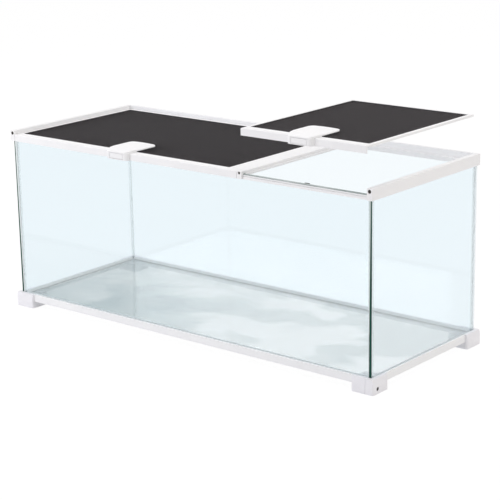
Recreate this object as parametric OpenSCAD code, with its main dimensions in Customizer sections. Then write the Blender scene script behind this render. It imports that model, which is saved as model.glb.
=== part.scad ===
// Glass reptile tank with a screened lid over each of its two bays. The lids lift straight off.
// All lengths are millimetres. X runs along the front, Y to the back, Z up.
// The origin is on the table, in the middle of the part's bounding box.

/* [Tank] */
// Outer length of the glass box
tank_l = 800; // [600:10:1000]
// Outer depth of the glass box
tank_d = 305; // [250:5:450]
// Height of clear glass between the base and the top frame
view_h = 289; // [200:1:450]
// Thickness of every pane
glass_t = 5; // [4:0.5:8]
// Leg of the silicone fillets in the corners
seal_leg = 4; // [2:0.5:6]

/* [Base] */
// Height of the base rails
base_h = 13.5; // [12:0.5:25]
// How far the base rails stand proud of the glass
base_proud = 3.5; // [2.5:0.5:5]
// Thickness of the web under the panes
base_web = 2.5; // [2:0.5:4]
// Width of the inner shelf that carries the floor pane
shelf_w = 10; // [6:1:20]
// Height of the shelf above the web
shelf_rise = 3; // [2:0.5:4]
// Length of each side of a corner foot
foot_l = 43; // [30:1:60]
// Height from the table to the top of the base
foot_h = 26; // [22:1:40]
// How far a foot stands proud of the glass
foot_proud = 8.5; // [6.5:0.5:12]
// Radius on a foot's upright corners
foot_r = 4; // [1:0.5:6]
// Wall round the hollow cells under a foot
foot_wall = 4; // [3:0.5:6]
// Depth of the hollow cells under a foot
foot_hollow = 4; // [2:0.5:5]
// Distance of the moulded groove from a foot's outer end
foot_groove_x = 15; // [10:1:25]
// How far a foot's outer faces lean in towards its top
foot_lean = 2.2; // [0.5:0.1:3]

/* [Top frame] */
// Height of the side and back rails
rail_h = 19.5; // [18:0.5:26]
// How far the rails stand proud of the glass
rail_proud = 3.5; // [2.5:0.5:5]
// Width of the rim of the side rails
rim_w = 10; // [9.5:0.5:16]
// Width of the rim of the back rail
back_rim_w = 6.2; // [6:0.2:9]
// Depth from the rim down to the top of the lids
lid_drop = 7; // [4:0.5:8]
// Thickness of the ledge that carries the lids
ledge_t = 3; // [2:0.5:4]
// Width of the ledge that carries the lids
ledge_w = 4; // [3:0.5:10]
// How far the panes reach up into the rails
pane_grip = 6; // [3:0.5:6]
// Wall on the inner side of the pane slots
slot_wall = 1.5; // [1.2:0.1:2]
// Width of the crossbar between the lids
cross_w = 31; // [22:1:50]
// Clear length of the right-hand bay
right_bay = 249.5; // [200:0.5:330]
// Thickness of the low rail on the front pane
front_rail_t = 2.2; // [1.8:0.2:2.4]
// Height of the low rail on the front pane
front_rail_h = 7; // [5:0.5:7.5]
// Depth that the posts at the front stand proud of the glass
post_proud = 5; // [5:0.5:8]
// Width of the post at the front of the crossbar
post_w = 9; // [7:0.5:12]
// Length of a back corner block along the back rail
corner_l = 46; // [36:1:70]
// Depth of a back corner block along the side rail
corner_d = 14; // [13:1:30]

/* [Lids] */
// Height of the bars round a lid
bar_h = 4; // [3.5:0.5:6]
// Width of the bars at a lid's sides and back
bar_w = 6.5; // [5:0.5:10]
// Width of the lip under the edge of the screen
lip_w = 3; // [2:0.5:5]
// Depth of the screen below the top of the bars
screen_drop = 1.5; // [1:0.25:2]
// Thickness of the screen
screen_t = 1; // [0.8:0.1:1.4]
// Distance from wire to wire of the screen
screen_pitch = 27; // [20:1:60]
// Width of a wire of the screen
screen_wire = 2.6; // [1.5:0.1:4]
// Height of the front strip of a lid
strip_h = 12.5; // [10:0.5:12.5]
// Thickness of the front strip
strip_t = 2.2; // [1.6:0.2:2.4]
// Depth of the flange on top of the front strip, from the pane's face
flange_d = 11; // [9:0.5:16]
// Thickness of the flange
flange_t = 2.5; // [2:0.25:3]
// Length of the moulded ends of a front strip
strip_end_l = 11.5; // [8:0.5:16]
// How far the left lid's front strip runs over the front of the crossbar
strip_over = 21.5; // [0:0.5:21.5]

/* [Handles] */
// Width of a handle's block where it meets the strip
block_w = 51; // [50:1:80]
// How far the block stands out from the strip
block_proud = 8; // [5:0.5:9]
// Width of the recessed plate in the block
plate_w = 32; // [20:1:33]
// Depth of the recessed plate
plate_in = 0.8; // [0.4:0.1:1.5]
// Width of the paddle over the screen
paddle_w = 61; // [56:1:90]
// How far the paddle reaches back from the front pane's face
paddle_reach = 59; // [45:1:80]
// Thickness of the paddle
paddle_t = 2; // [1.6:0.1:2.5]
// Height of the paddle's middle above the lid
paddle_rise = 5; // [5:0.5:12]
// How much lower the paddle's sides are than its middle
paddle_crown = 1; // [0.6:0.1:2.5]
// Radius of the paddle's free corners
paddle_r = 8; // [3:0.5:20]

/* [Fasteners] */
// Diameter of a screw's head
head_d = 6; // [4.5:0.25:7]
// Diameter of a screw's shank
shank_d = 2.6; // [2:0.2:2.8]
// Length of a screw's shank
shank_l = 14; // [10:1:20]
// Depth of a screw's head
head_t = 1.6; // [1.2:0.1:2]

/* [Lift] */
// Height at which the right-hand lid is held above its seat
lid_lift = 73; // [0:1:120]

/* [Hidden] */

// Clearance between a pane and the plastic round it
fit = 0.2;
// Clearance between a lid and what it drops into
lid_gap = 0.6;
// Clearance between a lid's underside and the ledges
seat_gap = 0.3;
// Clearance between the front pane's top edge and the flange over it
flange_gap = 1.8;
// Chamfer on the moulded edges of the rails
edge_cut = 0.8;
// Radius on the small moulded corners
soft_r = 1;
// Depth of the groove in a foot's face; its width is the same
groove_in = 0.7;
// Rim left above and below the recessed plate of a handle
plate_rim = 1;
// Height of the step where a paddle rises from its block
block_lip = 0.8;
// A cut runs this far past the face that it opens
cut = 1;
// Facets of round forms, and of the wide arcs of a paddle
$fn = 48;
wide_fn = 720;

// Colours of the finishes
clear_glass = [0.80, 0.92, 0.95, 0.35];
clear_seal = [0.90, 0.93, 0.94, 0.60];
white_plastic = [0.94, 0.94, 0.95];
black_plastic = [0.12, 0.12, 0.13];
charcoal_screen = [0.26, 0.25, 0.27];
dark_steel = [0.20, 0.19, 0.19];

// The places of the box's outer faces; the handles reach further forward than the feet reach back
handle_front = post_proud + block_proud;
y_front = -tank_d / 2 + (handle_front - foot_proud) / 2;
y_back = y_front + tank_d;
x_left = -tank_l / 2;
x_right = tank_l / 2;

// Heights
base_top = foot_h;
base_bottom = foot_h - base_h;
pane_bottom = base_bottom + base_web;
floor_bottom = pane_bottom + shelf_rise;
floor_top = floor_bottom + glass_t;
rail_bottom = base_top + view_h;
rail_top = rail_bottom + rail_h;
lid_top = rail_top - lid_drop;
lid_bottom = lid_top - bar_h;
pane_top = rail_bottom + pane_grip;
flange_bottom = lid_top - flange_t;
front_pane_top = flange_bottom - flange_gap;
ledge_top = lid_bottom - seat_gap;
ledge_bottom = ledge_top - ledge_t;

// Places along X
cross_right = x_right + rail_proud - rim_w - right_bay;
cross_left = cross_right - cross_w;
left_bay_x = x_left - rail_proud + rim_w;
right_bay_x = cross_right;
left_lid_x0 = left_bay_x + lid_gap;
left_lid_x1 = cross_left - lid_gap;
right_lid_x0 = cross_right + lid_gap;
right_lid_x1 = right_bay_x + right_bay - lid_gap;
left_strip_x1 = left_lid_x1 + strip_over;
post_x0 = cross_right - post_w;

// Places along Y
lid_back = y_back + rail_proud - back_rim_w - lid_gap;
strip_front = y_front - post_proud;
flange_back = y_front + flange_d;

// A box between two corners
module block(low, high) {
    translate(low) cube(high - low);
}

// A profile drawn in the X-Z plane, run along Y
module along_y(y0, y1) {
    translate([0, y1, 0]) rotate([90, 0, 0]) linear_extrude(y1 - y0) children();
}

// A profile drawn in the Y-Z plane, run along X
module along_x(x0, x1) {
    translate([x0, 0, 0]) rotate([90, 0, 90]) linear_extrude(x1 - x0) children();
}

// A rectangle with its four corners rounded, from corner to corner
module round_rect(low, high, r) {
    size = high - low;
    translate(low) {
        translate([r, 0]) square([size[0] - 2 * r, size[1]]);
        translate([0, r]) square([size[0], size[1] - 2 * r]);
        for (x = [r, size[0] - r], y = [r, size[1] - r]) translate([x, y]) circle(r);
    }
}

// ---------------------------------------------------------------- glass

module front_glass() {
    color(clear_glass)
    block([x_left + glass_t, y_front, pane_bottom],
        [x_right - glass_t, y_front + glass_t, front_pane_top]);
}

module back_glass() {
    color(clear_glass)
    block([x_left + glass_t, y_back - glass_t, pane_bottom], [x_right - glass_t, y_back, pane_top]);
}

module side_glass(x0) {
    color(clear_glass)
    block([x0, y_front, pane_bottom], [x0 + glass_t, y_back, pane_top]);
}

module left_glass() { side_glass(x_left); }
module right_glass() { side_glass(x_right - glass_t); }

module floor_glass() {
    color(clear_glass)
    block([x_left + glass_t + fit, y_front + glass_t + fit, floor_bottom],
        [x_right - glass_t - fit, y_back - glass_t - fit, floor_top]);
}

// One upright fillet of silicone, its right angle in a corner of the box
module corner_seal(x, y, turn) {
    translate([x, y, floor_top]) rotate(turn)
    linear_extrude(rail_bottom - floor_top - slot_wall)
    polygon([[0, 0], [seal_leg, 0], [0, seal_leg]]);
}

module corner_seals() {
    color(clear_seal) {
        corner_seal(x_left + glass_t, y_front + glass_t, 0);
        corner_seal(x_right - glass_t, y_front + glass_t, 90);
        corner_seal(x_right - glass_t, y_back - glass_t, 180);
        corner_seal(x_left + glass_t, y_back - glass_t, 270);
    }
}

// The fillets round the floor, mitred where they meet the upright ones
module floor_seals() {
    inner_x = tank_l / 2 - glass_t;
    run_x = inner_x - seal_leg;
    y0 = y_front + glass_t;
    y1 = y_back - glass_t;
    color(clear_seal) {
        along_x(-run_x, run_x) {
            polygon([[y0, floor_top], [y0 + seal_leg, floor_top], [y0, floor_top + seal_leg]]);
            polygon([[y1, floor_top], [y1, floor_top + seal_leg], [y1 - seal_leg, floor_top]]);
        }
        along_y(y0 + seal_leg, y1 - seal_leg) {
            polygon([[-inner_x, floor_top], [seal_leg - inner_x, floor_top],
                [-inner_x, floor_top + seal_leg]]);
            polygon([[inner_x, floor_top], [inner_x, floor_top + seal_leg],
                [inner_x - seal_leg, floor_top]]);
        }
    }
}

// ---------------------------------------------------------------- base

// Section of a base rail: outer wall, web under the pane, shelf under the floor.
// The first coordinate runs inwards from the pane's outer face.
module base_section() {
    polygon([
        [-base_proud, base_bottom],
        [glass_t + shelf_w, base_bottom],
        [glass_t + shelf_w, floor_bottom],
        [glass_t + fit, floor_bottom],
        [glass_t + fit, pane_bottom],
        [-fit, pane_bottom],
        [-fit, base_top],
        [fit - base_proud, base_top],
        [-base_proud, base_top - fit],
    ]);
}

module base_rail_front() {
    color(white_plastic)
    along_x(x_left - foot_proud + foot_l, x_right + foot_proud - foot_l)
    translate([y_front, 0]) base_section();
}

module base_rail_back() {
    color(white_plastic)
    along_x(x_left - foot_proud + foot_l, x_right + foot_proud - foot_l)
    translate([y_back, 0]) mirror([1, 0]) base_section();
}

module base_rail_left() {
    color(white_plastic)
    along_y(y_front - foot_proud + foot_l, y_back + foot_proud - foot_l)
    translate([x_left, 0]) base_section();
}

module base_rail_right() {
    color(white_plastic)
    along_y(y_front - foot_proud + foot_l, y_back + foot_proud - foot_l)
    translate([x_right, 0]) mirror([1, 0]) base_section();
}

// Centre of the hole for a foot's screw, along the foot and above the table
foot_screw_y = 13.5;
foot_screw_z = 8.5;

// Side view of a foot: upright beside the table, then leaning in beside the base rails
module foot_side() {
    polygon([[0, 0], [0, base_bottom], [foot_lean, foot_h], [foot_l, foot_h], [foot_l, 0]]);
}

// The front left foot, its outer corner at [0, 0, 0] and its length along +X and +Y.
// A grooved foot has a groove down its front, and a turned one takes its screw from the back.
module foot(grooved, turned) {
    pocket = foot_proud - fit;
    color(white_plastic)
    difference() {
        intersection() {
            linear_extrude(foot_h) round_rect([0, 0], [foot_l, foot_l], foot_r);
            along_y(0, foot_l) foot_side();
            along_x(0, foot_l) foot_side();
        }
        // slots for the two panes that meet over the foot
        block([pocket, pocket, pane_bottom],
            [foot_l + cut, foot_proud + glass_t + fit, foot_h + cut]);
        block([pocket, pocket, pane_bottom],
            [foot_proud + glass_t + fit, foot_l + cut, foot_h + cut]);
        // the floor pane and its shelf
        block([foot_proud + glass_t, foot_proud + glass_t, floor_bottom],
            [foot_l + cut, foot_l + cut, foot_h + cut]);
        // the hollow under the foot, with a bar left between two cells
        foot_cell(foot_wall, foot_groove_x - foot_wall / 2);
        foot_cell(foot_groove_x + foot_wall / 2, foot_l - foot_wall);
        // the groove down the outer face, which follows its lean
        if (grooved) along_x(foot_groove_x, foot_groove_x + groove_in)
            polygon([[-cut, -cut], [groove_in, -cut], [groove_in, base_bottom],
                [foot_lean + groove_in, foot_h], [foot_lean + groove_in, foot_h + cut],
                [-cut, foot_h + cut]]);
        // the screw hole through the outer side
        foot_screw_place(turned) {
            translate([0, 0, -cut]) cylinder(d = head_d + 2 * fit, h = cut + head_t + 2 * fit);
            translate([0, 0, -cut]) cylinder(d = shank_d + 2 * fit, h = cut + foot_l / 2);
        }
    }
}

// Points +Z into a foot's outer side at its screw: the end of a front foot, the back of a back one
module foot_screw_place(turned) {
    if (turned) translate([foot_screw_y, 0, foot_screw_z]) rotate([-90, 0, 0]) children();
    else translate([0, foot_screw_y, foot_screw_z]) rotate([0, 90, 0]) children();
}

// A hollow cell under a foot, from x0 to x1
module foot_cell(x0, x1) {
    block([x0, foot_wall, -cut], [x1, foot_l - foot_wall, foot_hollow]);
}

// Puts what is drawn for the front left corner on each corner: side = -1 or 1, depth = -1 or 1
module on_corner(side, depth) {
    translate([side * (tank_l / 2 + foot_proud),
        depth < 0 ? y_front - foot_proud : y_back + foot_proud, 0])
    mirror([side < 0 ? 0 : 1, 0, 0]) mirror([0, depth < 0 ? 0 : 1, 0]) children();
}

module foot_front_left() { on_corner(-1, -1) foot(grooved = false, turned = false); }
module foot_front_right() { on_corner(1, -1) foot(grooved = true, turned = false); }
module foot_back_left() { on_corner(-1, 1) foot(grooved = true, turned = true); }
module foot_back_right() { on_corner(1, 1) foot(grooved = false, turned = true); }

// A round-headed screw, its head's outer face at the origin and its shank along +Z
module screw(length) {
    cylinder(d = head_d, h = head_t);
    translate([0, 0, head_t]) cylinder(d = shank_d, h = length);
}

module foot_screws() {
    color(dark_steel)
    for (side = [-1, 1], depth = [-1, 1])
    on_corner(side, depth)
    foot_screw_place(turned = depth > 0) translate([0, 0, fit]) screw(shank_l);
}

// ---------------------------------------------------------------- top frame

// Section of a side rail, inwards from the pane's outer face: rim, ledge, slot for the pane and
// a hollow chamber that takes the front screw
module side_section() {
    rim_in = rim_w - rail_proud;
    chamber_top = rail_top - ledge_t;
    chamber_bottom = frame_screw_z - shank_d / 2 - fit;
    difference() {
        polygon([
            [-rail_proud, rail_bottom],
            [-rail_proud, rail_top - edge_cut],
            [edge_cut - rail_proud, rail_top],
            [rim_in - edge_cut, rail_top],
            [rim_in, rail_top - edge_cut],
            [rim_in, ledge_top],
            [rim_in + ledge_w, ledge_top],
            [rim_in + ledge_w, ledge_bottom],
            [glass_t + slot_wall, ledge_bottom],
            [glass_t + slot_wall, rail_bottom],
            [glass_t + fit, rail_bottom],
            [glass_t + fit, pane_top],
            [-fit, pane_top],
            [-fit, rail_bottom],
        ]);
        translate([0, chamber_bottom]) square([glass_t - fit, chamber_top - chamber_bottom]);
    }
}

// Section of the back rail, inwards from the pane's outer face
module back_section() {
    rim_in = back_rim_w - rail_proud;
    polygon([
        [-rail_proud, rail_bottom],
        [-rail_proud, rail_top - edge_cut],
        [edge_cut - rail_proud, rail_top],
        [rim_in - edge_cut, rail_top],
        [rim_in, rail_top - edge_cut],
        [rim_in, ledge_top],
        [rim_in + ledge_w, ledge_top],
        [rim_in + ledge_w, ledge_bottom],
        [glass_t + slot_wall, ledge_bottom],
        [glass_t + slot_wall, rail_bottom],
        [glass_t + fit, rail_bottom],
        [glass_t + fit, pane_top],
        [-fit, pane_top],
        [-fit, rail_bottom],
    ]);
}

// Height of the screws in the two front posts
frame_screw_z = rail_top - 5;

// The room that the front pane needs in the ends of the side rails
module front_pane_room() {
    block([x_left + glass_t - fit, y_front - cut, rail_bottom - cut],
        [x_right - glass_t + fit, y_front + glass_t + fit, front_pane_top + fit]);
}

module top_rail_left() {
    color(white_plastic)
    difference() {
        along_y(y_front, y_back + rail_proud - corner_d)
            translate([x_left, 0]) side_section();
        front_pane_room();
    }
}

module top_rail_right() {
    color(white_plastic)
    difference() {
        along_y(y_front, y_back + rail_proud - corner_d)
            translate([x_right, 0]) mirror([1, 0]) side_section();
        front_pane_room();
    }
}

module top_rail_back() {
    color(white_plastic)
    along_x(x_left - rail_proud + corner_l, x_right + rail_proud - corner_l)
    translate([y_back, 0]) mirror([1, 0]) back_section();
}

// The left back corner block: rim round the outside, seat for a lid's corner, slots for the panes
module corner_block() {
    x0 = x_left - rail_proud;
    y1 = y_back + rail_proud;
    color(white_plastic)
    difference() {
        translate([0, 0, rail_bottom]) linear_extrude(rail_h)
            round_rect([x0, y1 - corner_d], [x0 + corner_l, y1], soft_r);
        // seat for the lid
        block([x0 + rim_w, y1 - corner_d - cut, ledge_top],
            [x0 + corner_l + cut, y1 - back_rim_w, rail_top + cut]);
        // slots for the side and back panes
        block([x_left - fit, y1 - corner_d - cut, rail_bottom - cut],
            [x_left + glass_t + fit, y_back + fit, pane_top]);
        block([x_left - fit, y_back - glass_t - fit, rail_bottom - cut],
            [x0 + corner_l + cut, y_back + fit, pane_top]);
        // room under the ledge
        block([x_left + glass_t + slot_wall, y1 - corner_d - cut, rail_bottom - cut],
            [x0 + corner_l + cut, y_back - glass_t - slot_wall, ledge_bottom]);
    }
}

module corner_block_left() { corner_block(); }
module corner_block_right() { mirror([1, 0, 0]) corner_block(); }

// The room that the left lid's front strip needs over the front of the crossbar
module strip_room() {
    block([cross_left - cut, strip_front - cut, flange_bottom - lid_gap],
        [left_strip_x1 + lid_gap, flange_back + lid_gap, lid_top + cut]);
}

// The crossbar: a wide hollow bar, flush with the lids, on a plate whose edges carry them
module crossbar() {
    back_rim = y_back + rail_proud - back_rim_w;
    front = y_front + glass_t + fit;
    wall = ledge_t / 2;
    color(white_plastic)
    difference() {
        union() {
            block([cross_left, front, ledge_top], [cross_right, back_rim - fit, lid_top]);
            block([cross_left - ledge_w, front, ledge_bottom],
                [cross_right + ledge_w, back_rim - ledge_w - fit, ledge_top]);
        }
        // the hollow, closed at the front end
        block([cross_left + ledge_t, flange_back + ledge_t, ledge_top + wall / 2],
            [cross_right - ledge_t, back_rim + cut, lid_top - wall]);
        strip_room();
        // the hole for the post's screw
        translate([post_x0 + post_w / 2, front - cut, cross_screw_z]) rotate([-90, 0, 0])
            cylinder(d = cross_shank_d + fit, h = shank_l);
    }
}

// Height of the screw in the crossbar's post
cross_screw_z = lid_top - 2.6;

// The moulded end at the front of the crossbar: a plate behind the left lid's strip, a bridge
// over the front pane and a post that fills the space between the two strips
module crossbar_post() {
    plate_front = y_front - front_rail_t;
    color(white_plastic)
    difference() {
        union() {
            block([cross_left, plate_front, rail_bottom], [cross_right, y_front - fit, lid_top]);
            block([cross_left, y_front - fit, front_pane_top + fit],
                [cross_right, y_front + glass_t, lid_top]);
            block([post_x0, strip_front, rail_bottom], [cross_right, plate_front, lid_top]);
        }
        translate([post_x0 + post_w / 2, strip_front - cut, cross_screw_z]) rotate([-90, 0, 0])
            cylinder(d = cross_head_d + fit, h = cut + head_t + fit);
        translate([post_x0 + post_w / 2, strip_front - cut, cross_screw_z]) rotate([-90, 0, 0])
            cylinder(d = cross_shank_d + fit, h = cut + post_proud + glass_t + cut);
        strip_room();
    }
}

// The crossbar's screw is smaller, because it passes over the edge of the pane
cross_head_d = 4.4;
cross_shank_d = 1.6;

// The low rail on the front pane, with a step along its face
step_in = 0.6;
module front_rail(x0, x1) {
    step_z = rail_bottom + front_rail_h / 2;
    color(white_plastic)
    along_x(x0, x1)
    polygon([
        [y_front - fit / 2, rail_bottom],
        [y_front - fit / 2, rail_bottom + front_rail_h],
        [y_front - front_rail_t + step_in, rail_bottom + front_rail_h],
        [y_front - front_rail_t + step_in, step_z + step_in],
        [y_front - front_rail_t, step_z],
        [y_front - front_rail_t, rail_bottom],
    ]);
}

module front_rail_left() { front_rail(left_bay_x + fit, cross_left - fit); }
module front_rail_right() { front_rail(cross_right + fit, right_bay_x + right_bay - fit); }

// The post that closes the front end of the left side rail
module front_post() {
    x0 = x_left - rail_proud;
    screw_x = x0 + rim_w / 2;
    color(white_plastic)
    difference() {
        along_y(strip_front, y_front - fit / 2)
            round_rect([x0, rail_bottom], [x0 + rim_w, rail_top], soft_r);
        translate([screw_x, strip_front - cut, frame_screw_z]) rotate([-90, 0, 0])
            cylinder(d = head_d + fit, h = cut + head_t + fit);
        translate([screw_x, strip_front - cut, frame_screw_z]) rotate([-90, 0, 0])
            cylinder(d = shank_d + fit, h = cut + post_proud + cut);
    }
}

module front_post_left() { front_post(); }
module front_post_right() { mirror([1, 0, 0]) front_post(); }

module frame_screws() {
    color(dark_steel) {
        for (side = [-1, 1])
            translate([side * (tank_l / 2 + rail_proud - rim_w / 2), strip_front + fit, frame_screw_z])
            rotate([-90, 0, 0]) screw(shank_l);
        translate([post_x0 + post_w / 2, strip_front + fit, cross_screw_z]) rotate([-90, 0, 0]) {
            cylinder(d = cross_head_d, h = head_t);
            cylinder(d = cross_shank_d, h = shank_l);
        }
    }
}

// A small wedge-shaped catch on the inside of the front pane, under a handle
catch_w = 9;
catch_h = 8;
catch_d = 5;
module catch(x) {
    y0 = y_front + glass_t;
    top = front_pane_top;
    color(black_plastic)
    along_x(x - catch_w / 2, x + catch_w / 2)
    polygon([[y0, top - catch_h], [y0, top], [y0 + catch_d, top - catch_h / 2],
        [y0 + catch_d / 2, top - catch_h]]);
}

// A handle stands in the middle of its front strip
left_handle_x = (left_lid_x0 + left_strip_x1) / 2;
right_handle_x = (right_lid_x0 + right_lid_x1) / 2;
module catch_left() { catch(left_handle_x); }
module catch_right() { catch(right_handle_x); }

// ---------------------------------------------------------------- lids

// Section of a lid bar, inwards from its outer face: the bar and the lip under the screen
module bar_section() {
    polygon([
        [0, lid_bottom],
        [0, lid_top - edge_cut / 2],
        [edge_cut / 2, lid_top],
        [bar_w, lid_top],
        [bar_w, lid_bottom],
    ]);
}

screen_top = lid_top - screen_drop;
screen_bottom = screen_top - screen_t;

module lip_section() {
    lip_cut = (screen_bottom - lid_bottom) / 2;
    polygon([[bar_w, lid_bottom], [bar_w, screen_bottom], [bar_w + lip_w, screen_bottom],
        [bar_w + lip_w, lid_bottom + lip_cut], [bar_w + lip_w - lip_cut, lid_bottom]]);
}

// The three bars of a lid, mitred at the back; x0 and x1 are its outer faces
module lid_bars(x0, x1) {
    under = y_front + glass_t + lid_gap;
    color(white_plastic) {
        // left and right bars, with a foot that reaches under the flange of the front strip
        for (side = [0, 1])
        translate([side == 0 ? x0 : x1, 0, 0]) mirror([side, 0, 0])
        difference() {
            along_y(under, lid_back) { bar_section(); lip_section(); }
            block([-cut, under - cut, flange_bottom], [bar_w + lip_w + cut, flange_back, lid_top + cut]);
            side_mitre();
        }
        // back bar
        difference() {
            along_x(x0, x1) translate([lid_back, 0]) mirror([1, 0]) { bar_section(); lip_section(); }
            translate([x0, 0, 0]) mirror([1, 0, 0]) back_mitre();
            translate([x1, 0, 0]) back_mitre();
        }
    }
}

// Takes off the back end of a side bar along the 45-degree mitre
mitre_reach = bar_w + lip_w + cut;
module side_mitre() {
    translate([0, lid_back, lid_bottom - cut]) linear_extrude(bar_h + 2 * cut)
        polygon([[-cut, cut - fit / 2], [mitre_reach, -mitre_reach - fit / 2], [mitre_reach, cut]]);
}

// Takes off the end of the back bar along the same mitre
module back_mitre() {
    translate([0, lid_back, lid_bottom - cut]) linear_extrude(bar_h + 2 * cut)
        polygon([[cut, cut + fit / 2], [-mitre_reach, fit / 2 - mitre_reach], [cut, -mitre_reach]]);
}

// The screen: one sheet with a square hole between every four wires
module lid_screen(x0, x1) {
    low = [x0 + bar_w + fit, flange_back + fit];
    high = [x1 - bar_w - fit, lid_back - bar_w - fit];
    size = high - low;
    edge = screen_wire;
    nx = floor((size[0] - 2 * edge + screen_wire) / screen_pitch);
    ny = floor((size[1] - 2 * edge + screen_wire) / screen_pitch);
    px = (size[0] - 2 * edge + screen_wire) / nx;
    py = (size[1] - 2 * edge + screen_wire) / ny;
    corners = [for (i = [0:nx - 1], j = [0:ny - 1])
        each [for (c = [[0, 0], [px - screen_wire, 0], [px - screen_wire, py - screen_wire],
            [0, py - screen_wire]]) low + [edge + i * px, edge + j * py] + c]];
    outline = [low, [high[0], low[1]], high, [low[0], high[1]]];
    holes = [for (k = [1:nx * ny]) [4 * k, 4 * k + 1, 4 * k + 2, 4 * k + 3]];
    color(charcoal_screen)
    translate([0, 0, screen_bottom]) linear_extrude(screen_t)
    polygon(concat(outline, corners), concat([[0, 1, 2, 3]], holes));
}

// The soft bead that holds the screen's edge down, round three sides
spline_w = 1.2;
module lid_spline(x0, x1) {
    xa = x0 + bar_w;
    xb = x1 - bar_w;
    yb = lid_back - bar_w;
    color(charcoal_screen)
    translate([0, 0, screen_top]) linear_extrude(screen_drop - fit)
    difference() {
        translate([xa, flange_back]) square([xb - xa, yb - flange_back]);
        translate([xa + spline_w, flange_back - cut])
            square([xb - xa - 2 * spline_w, yb - flange_back - spline_w + cut]);
    }
}

// Section of a front strip: the face in front of the pane and the flange over it
module strip_section() {
    face_bottom = lid_top - strip_h;
    r = soft_r;
    polygon([
        [strip_front, face_bottom],
        [strip_front, lid_top - r],
        [strip_front + r / 2, lid_top - r / 3],
        [strip_front + r, lid_top],
        [flange_back, lid_top],
        [flange_back, flange_bottom],
        [strip_front + strip_t, flange_bottom],
        [strip_front + strip_t, face_bottom],
    ]);
}

module lid_strip(x0, x1) {
    color(white_plastic)
    along_x(x0 + strip_end_l, x1 - strip_end_l) strip_section();
}

// The two moulded ends of a strip, with a rounded outer corner
module lid_strip_ends(x0, x1) {
    face_bottom = lid_top - strip_h;
    r = strip_t;
    color(white_plastic)
    for (side = [0, 1])
    translate([side == 0 ? x0 : x1, 0, 0]) mirror([side, 0, 0])
    intersection() {
        along_x(0, strip_end_l) strip_section();
        along_y(strip_front - cut, flange_back + cut) {
            translate([0, face_bottom]) square([strip_end_l, strip_h - r]);
            translate([r, face_bottom]) square([strip_end_l - r, strip_h]);
            translate([r, lid_top - r]) circle(r);
        }
    }
}

// Half the width of a block's flat front
block_flat = block_w / 2 - block_proud;
// Where a paddle ends, and where it reaches its full height and width
paddle_back = post_proud + paddle_reach;
paddle_level = post_proud + flange_d + paddle_t;

// Plan of the handle's block: flat in front, with a quarter-round flank on each side
module block_plan() {
    intersection() {
        union() {
            translate([-block_flat, -block_proud]) square([2 * block_flat, block_proud]);
            for (x = [-block_flat, block_flat]) translate([x, 0]) circle(block_proud);
        }
        translate([-block_w / 2, -block_proud]) square([block_w, block_proud]);
    }
}

// The radius of an arc that rises by a height over a run, and is level at the run's end
function arc_radius(run, rise) = (run * run + rise * rise) / (2 * rise);

// All that lies under the arc across a paddle, or under one that lies lower by the drop
module crown_section(drop, bottom) {
    crown_r = arc_radius(paddle_w / 2, paddle_crown);
    intersection() {
        translate([0, paddle_rise - crown_r]) circle(crown_r - drop, $fn = wide_fn);
        translate([-paddle_w, bottom]) square([2 * paddle_w, paddle_rise + cut - bottom]);
    }
}

// Side view of a paddle: it rises in one arc from the block's top edge and then runs level
module paddle_side() {
    run = paddle_level + block_proud;
    arc_r = arc_radius(run, paddle_rise - block_lip);
    translate([paddle_level, 0]) square([paddle_back - paddle_level, paddle_rise + cut]);
    intersection() {
        translate([paddle_level, paddle_rise - arc_r]) circle(arc_r, $fn = wide_fn);
        translate([-block_proud, 0]) square([run, paddle_rise + cut]);
    }
}

// Plan of a paddle: it widens from the block's flat front, and its free corners are round
module paddle_plan() {
    half = paddle_w / 2;
    polygon([
        [-block_flat, -block_proud], [block_flat, -block_proud],
        [block_w / 2, 0], [half, paddle_level],
        [half, paddle_back - paddle_r], [-half, paddle_back - paddle_r],
        [-half, paddle_level], [-block_w / 2, 0],
    ]);
    translate([paddle_r - half, paddle_level])
        square([paddle_w - 2 * paddle_r, paddle_back - paddle_level]);
    for (x = [paddle_r - half, half - paddle_r])
        translate([x, paddle_back - paddle_r]) circle(paddle_r);
}

// A paddle: a crowned shell over the screen, solid where it stands on the strip
module paddle() {
    solid_y = post_proud + flange_d - paddle_t;
    intersection() {
        difference() {
            along_y(-block_proud, paddle_back) crown_section(drop = 0, bottom = 0);
            along_y(solid_y, paddle_back + cut) crown_section(drop = paddle_t, bottom = -cut);
        }
        along_x(-paddle_w / 2, paddle_w / 2) paddle_side();
        linear_extrude(paddle_rise + cut) paddle_plan();
    }
}

// A handle, drawn about the middle of the strip's face, at the height of the lid's top
module handle(x) {
    color(white_plastic)
    translate([x, strip_front, lid_top]) {
        difference() {
            translate([0, 0, -strip_h]) linear_extrude(strip_h) block_plan();
            block([-plate_w / 2, -block_proud - cut, plate_rim - strip_h],
                [plate_w / 2, plate_in - block_proud, -plate_rim]);
        }
        paddle();
    }
}

// ---------------------------------------------------------------- the two lids

module left_lid_bars() { lid_bars(left_lid_x0, left_lid_x1); }
module left_lid_screen() { lid_screen(left_lid_x0, left_lid_x1); }
module left_lid_spline() { lid_spline(left_lid_x0, left_lid_x1); }
module left_lid_strip() { lid_strip(left_lid_x0, left_strip_x1); }
module left_lid_strip_ends() { lid_strip_ends(left_lid_x0, left_strip_x1); }
module left_lid_handle() { handle(left_handle_x); }

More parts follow.
